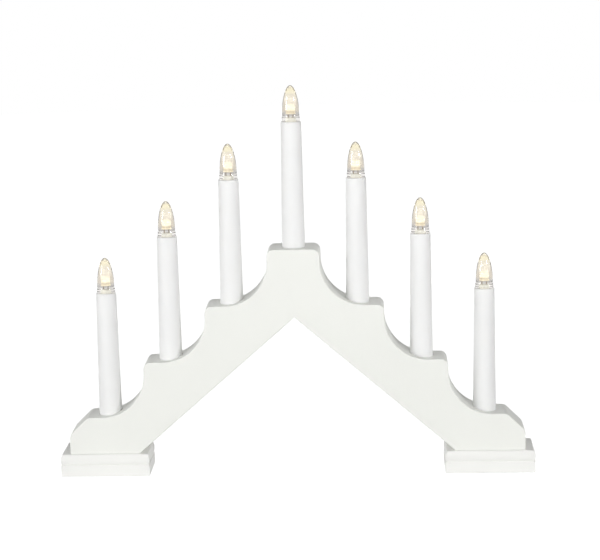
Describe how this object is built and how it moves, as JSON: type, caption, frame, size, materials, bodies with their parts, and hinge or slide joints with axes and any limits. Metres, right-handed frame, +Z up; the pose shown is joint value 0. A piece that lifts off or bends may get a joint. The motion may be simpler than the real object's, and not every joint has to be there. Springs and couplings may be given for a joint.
{
  "type": "led candle arch",
  "caption": "Painted wooden candle arch in steps on two moulded feet, with tapered candle tubes, clear push-in LED bulbs and a battery drive let into its back.",
  "frame": {"origin": "under the middle of the arch, on the surface that the feet stand on", "axes": "+X along the arch to the right as seen from the front, +Y to the back, +Z up"},
  "size_m": [0.4, 0.04, 0.3275],
  "materials": {
    "arch_paint": "satin white paint",
    "foot_paint": "satin white paint",
    "candle_plastic": "satin white",
    "clear_bulb": "clear, polished",
    "led_glow": "clear, lit",
    "socket_plastic": "moulded",
    "cover_board": "white faced fibreboard",
    "black_plastic": "moulded",
    "white_plastic": "moulded",
    "cell_jacket": "plain jacket",
    "steel": "zinc plated",
    "contact_brass": "plain",
    "board_laminate": "solder resist",
    "wire_sleeve": "soft sleeve",
    "felt": "wool felt"
  },
  "bodies": {
    "arch": {"arch_body": "arch_paint", "left_foot": "foot_paint", "right_foot": "foot_paint", "left_foot_pad": "felt", "right_foot_pad": "felt", "wiring_harness": "wire_sleeve", "rear_cover": "cover_board", "battery_tray": "black_plastic", "battery_contact": "contact_brass", "battery_cell_1": "cell_jacket", "battery_cell_2": "cell_jacket", "battery_spring": "steel", "control_board": "board_laminate", "switch_body": "black_plastic", "left_foot_screw_inner": "steel", "left_foot_screw_outer": "steel", "right_foot_screw_inner": "steel", "right_foot_screw_outer": "steel", "cover_screw_apex": "steel", "cover_screw_left_middle": "steel", "cover_screw_left_end": "steel", "cover_screw_right_end": "steel", "candle_tube_1": "candle_plastic", "lamp_socket_1": "socket_plastic", "candle_tube_2": "candle_plastic", "lamp_socket_2": "socket_plastic", "candle_tube_3": "candle_plastic", "lamp_socket_3": "socket_plastic", "candle_tube_4": "candle_plastic", "lamp_socket_4": "socket_plastic", "candle_tube_5": "candle_plastic", "lamp_socket_5": "socket_plastic", "candle_tube_6": "candle_plastic", "lamp_socket_6": "socket_plastic", "candle_tube_7": "candle_plastic", "lamp_socket_7": "socket_plastic"},
    "battery_door": {"battery_door": "white_plastic"},
    "switch_slider": {"switch_slider": "black_plastic"},
    "bulb_1": {"bulb_base_1": "socket_plastic", "bulb_led_1": "led_glow", "bulb_lens_1": "clear_bulb"},
    "bulb_2": {"bulb_base_2": "socket_plastic", "bulb_led_2": "led_glow", "bulb_lens_2": "clear_bulb"},
    "bulb_3": {"bulb_base_3": "socket_plastic", "bulb_led_3": "led_glow", "bulb_lens_3": "clear_bulb"},
    "bulb_4": {"bulb_base_4": "socket_plastic", "bulb_led_4": "led_glow", "bulb_lens_4": "clear_bulb"},
    "bulb_5": {"bulb_base_5": "socket_plastic", "bulb_led_5": "led_glow", "bulb_lens_5": "clear_bulb"},
    "bulb_6": {"bulb_base_6": "socket_plastic", "bulb_led_6": "led_glow", "bulb_lens_6": "clear_bulb"},
    "bulb_7": {"bulb_base_7": "socket_plastic", "bulb_led_7": "led_glow", "bulb_lens_7": "clear_bulb"}
  },
  "joints": [
    {"name": "battery_door_pull", "type": "slide", "parent": "arch", "child": "battery_door", "axis": [0, 1, 0], "range_m": [0, 0.03]},
    {"name": "switch_slide", "type": "slide", "parent": "arch", "child": "switch_slider", "axis": [0.7548, 0, 0.656], "range_m": [0, 0.004]},
    {"name": "bulb_1_pull", "type": "slide", "parent": "arch", "child": "bulb_1", "axis": [0, 0, 1], "range_m": [0, 0.02]},
    {"name": "bulb_2_pull", "type": "slide", "parent": "arch", "child": "bulb_2", "axis": [0, 0, 1], "range_m": [0, 0.02]},
    {"name": "bulb_3_pull", "type": "slide", "parent": "arch", "child": "bulb_3", "axis": [0, 0, 1], "range_m": [0, 0.02]},
    {"name": "bulb_4_pull", "type": "slide", "parent": "arch", "child": "bulb_4", "axis": [0, 0, 1], "range_m": [0, 0.02]},
    {"name": "bulb_5_pull", "type": "slide", "parent": "arch", "child": "bulb_5", "axis": [0, 0, 1], "range_m": [0, 0.02]},
    {"name": "bulb_6_pull", "type": "slide", "parent": "arch", "child": "bulb_6", "axis": [0, 0, 1], "range_m": [0, 0.02]},
    {"name": "bulb_7_pull", "type": "slide", "parent": "arch", "child": "bulb_7", "axis": [0, 0, 1], "range_m": [0, 0.02]}
  ]
}
